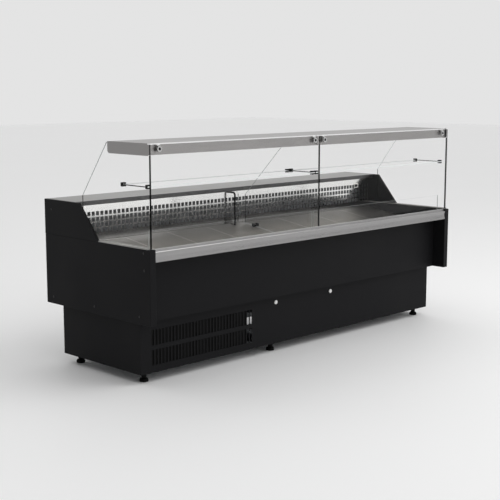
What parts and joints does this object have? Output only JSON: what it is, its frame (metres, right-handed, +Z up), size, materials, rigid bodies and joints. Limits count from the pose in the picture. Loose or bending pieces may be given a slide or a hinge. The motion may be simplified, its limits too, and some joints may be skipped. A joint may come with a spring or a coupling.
{
  "type": "refrigerated deli case",
  "caption": "Long refrigerated serve-over deli case with hinged straight front glass, a steel canopy, a sloping deck of loose plates and machinery in the base.",
  "frame": {"origin": "middle of the footprint, on the floor under the feet", "axes": "+X along the counter to the customer's right, -Y towards the customer, +Y towards the person who serves, +Z up"},
  "size_m": [2.56, 0.9, 1.255],
  "materials": {
    "black_steel": "fine matt powder coat",
    "stainless": "brushed along the length",
    "bumper_profile": "satin anodised",
    "clear_glass": "clear, polished edges",
    "chrome": "polished",
    "tub_skin": "foam-filled skin, matt",
    "galvanised": "galvanised",
    "black_rubber": "matt",
    "black_plastic": "moulded, fine texture",
    "white_plastic": "semi-gloss",
    "aluminium_fins": "thin fins",
    "compressor_paint": "gloss paint"
  },
  "bodies": {
    "case": {"side_panel_left": "black_steel", "side_panel_right": "black_steel", "upper_side_panel_left": "black_steel", "upper_side_panel_right": "black_steel", "front_panel": "black_steel", "rear_panel": "black_steel", "base_rear_cover": "black_steel", "base_end_cover_left": "black_steel", "base_end_cover_right": "black_steel", "worktop": "stainless", "canopy": "stainless", "canopy_end_left": "stainless", "canopy_end_right": "stainless", "air_wall": "stainless", "front_bumper": "bumper_profile", "end_glass_left": "clear_glass", "end_glass_right": "clear_glass", "middle_glass": "clear_glass", "glass_shelf_left": "clear_glass", "glass_shelf_right": "clear_glass", "air_deflector_left": "clear_glass", "air_deflector_right": "clear_glass", "insulated_tub": "tub_skin", "base_frame": "galvanised", "fan_plate": "galvanised", "probe_tube": "black_rubber", "control_panel": "black_plastic", "condenser_fan_motor": "black_plastic", "mains_inlet": "black_plastic", "lamp": "white_plastic", "condenser": "aluminium_fins", "evaporator": "aluminium_fins", "compressor": "compressor_paint"},
    "front_glass_left": {"front_glass_left": "clear_glass", "glass_clamp_left_inner": "chrome", "glass_clamp_left_outer": "chrome"},
    "front_glass_right": {"front_glass_right": "clear_glass", "glass_clamp_right_inner": "chrome", "glass_clamp_right_outer": "chrome"},
    "base_front_cover": {"base_front_cover": "black_steel"},
    "cover_lock_left": {"cover_lock_left": "white_plastic"},
    "cover_lock_right": {"cover_lock_right": "white_plastic"},
    "condenser_fan": {"condenser_fan": "black_plastic"},
    "evaporator_fan_left": {"evaporator_fan_left": "black_plastic"},
    "evaporator_fan_right": {"evaporator_fan_right": "black_plastic"},
    "lamp_switch": {"lamp_switch": "black_plastic"},
    "deck_plate_1": {"deck_plate_1": "stainless"},
    "deck_plate_2": {"deck_plate_2": "stainless"},
    "deck_plate_3": {"deck_plate_3": "stainless"},
    "deck_plate_4": {"deck_plate_4": "stainless"},
    "deck_plate_5": {"deck_plate_5": "stainless"},
    "deck_plate_6": {"deck_plate_6": "stainless"},
    "deck_plate_7": {"deck_plate_7": "stainless"},
    "deck_plate_8": {"deck_plate_8": "stainless"},
    "foot_front_left": {"foot_front_left": "black_rubber"},
    "foot_front_middle": {"foot_front_middle": "black_rubber"},
    "foot_front_right": {"foot_front_right": "black_rubber"},
    "foot_rear_left": {"foot_rear_left": "black_rubber"},
    "foot_rear_middle": {"foot_rear_middle": "black_rubber"},
    "foot_rear_right": {"foot_rear_right": "black_rubber"}
  },
  "joints": [
    {"name": "front_glass_left_lift", "type": "hinge", "parent": "case", "child": "front_glass_left", "pos_m": [-0.62845, -0.4295, 1.2465], "axis": [-1, 0, 0], "range_deg": [0, 80]},
    {"name": "front_glass_right_lift", "type": "hinge", "parent": "case", "child": "front_glass_right", "pos_m": [0.62845, -0.4295, 1.2465], "axis": [-1, 0, 0], "range_deg": [0, 80]},
    {"name": "base_front_cover_pull", "type": "slide", "parent": "case", "child": "base_front_cover", "axis": [0, -1, 0], "range_m": [0, 0.15]},
    {"name": "cover_lock_left_turn", "type": "hinge", "parent": "base_front_cover", "child": "cover_lock_left", "pos_m": [-0.235, -0.318, 0.297], "axis": [0, -1, 0], "range_deg": [0, 90]},
    {"name": "cover_lock_right_turn", "type": "hinge", "parent": "base_front_cover", "child": "cover_lock_right", "pos_m": [0.244, -0.318, 0.297], "axis": [0, -1, 0], "range_deg": [0, 90]},
    {"name": "deck_plate_1_lift", "type": "slide", "parent": "case", "child": "deck_plate_1", "axis": [0, 0, 1], "range_m": [0, 0.12]},
    {"name": "deck_plate_2_lift", "type": "slide", "parent": "case", "child": "deck_plate_2", "axis": [0, 0, 1], "range_m": [0, 0.12]},
    {"name": "deck_plate_3_lift", "type": "slide", "parent": "case", "child": "deck_plate_3", "axis": [0, 0, 1], "range_m": [0, 0.12]},
    {"name": "deck_plate_4_lift", "type": "slide", "parent": "case", "child": "deck_plate_4", "axis": [0, 0, 1], "range_m": [0, 0.12]},
    {"name": "deck_plate_5_lift", "type": "slide", "parent": "case", "child": "deck_plate_5", "axis": [0, 0, 1], "range_m": [0, 0.12]},
    {"name": "deck_plate_6_lift", "type": "slide", "parent": "case", "child": "deck_plate_6", "axis": [0, 0, 1], "range_m": [0, 0.12]},
    {"name": "deck_plate_7_lift", "type": "slide", "parent": "case", "child": "deck_plate_7", "axis": [0, 0, 1], "range_m": [0, 0.12]},
    {"name": "deck_plate_8_lift", "type": "slide", "parent": "case", "child": "deck_plate_8", "axis": [0, 0, 1], "range_m": [0, 0.12]},
    {"name": "foot_front_left_turn", "type": "hinge", "parent": "case", "child": "foot_front_left", "pos_m": [-1.172, -0.258, 0], "axis": [0, 0, 1], "continuous": true},
    {"name": "foot_front_middle_turn", "type": "hinge", "parent": "case", "child": "foot_front_middle", "pos_m": [-0.218, -0.258, 0], "axis": [0, 0, 1], "continuous": true},
    {"name": "foot_front_right_turn", "type": "hinge", "parent": "case", "child": "foot_front_right", "pos_m": [1.172, -0.258, 0], "axis": [0, 0, 1], "continuous": true},
    {"name": "foot_rear_left_turn", "type": "hinge", "parent": "case", "child": "foot_rear_left", "pos_m": [-1.172, 0.297, 0], "axis": [0, 0, 1], "continuous": true},
    {"name": "foot_rear_middle_turn", "type": "hinge", "parent": "case", "child": "foot_rear_middle", "pos_m": [-0.218, 0.297, 0], "axis": [0, 0, 1], "continuous": true},
    {"name": "foot_rear_right_turn", "type": "hinge", "parent": "case", "child": "foot_rear_right", "pos_m": [1.172, 0.297, 0], "axis": [0, 0, 1], "continuous": true},
    {"name": "condenser_fan_spin", "type": "hinge", "parent": "case", "child": "condenser_fan", "pos_m": [-0.94, -0.15, 0.2], "axis": [0, 1, 0], "continuous": true},
    {"name": "evaporator_fan_left_spin", "type": "hinge", "parent": "case", "child": "evaporator_fan_left", "pos_m": [-0.5, 0.0515, 0.535], "axis": [0, 1, 0], "continuous": true},
    {"name": "evaporator_fan_right_spin", "type": "hinge", "parent": "case", "child": "evaporator_fan_right", "pos_m": [0.5, 0.0515, 0.535], "axis": [0, 1, 0], "continuous": true},
    {"name": "lamp_switch_rock", "type": "hinge", "parent": "case", "child": "lamp_switch", "pos_m": [0.985, 0.4402, 0.81], "axis": [1, 0, 0], "range_deg": [0, 16]}
  ]
}
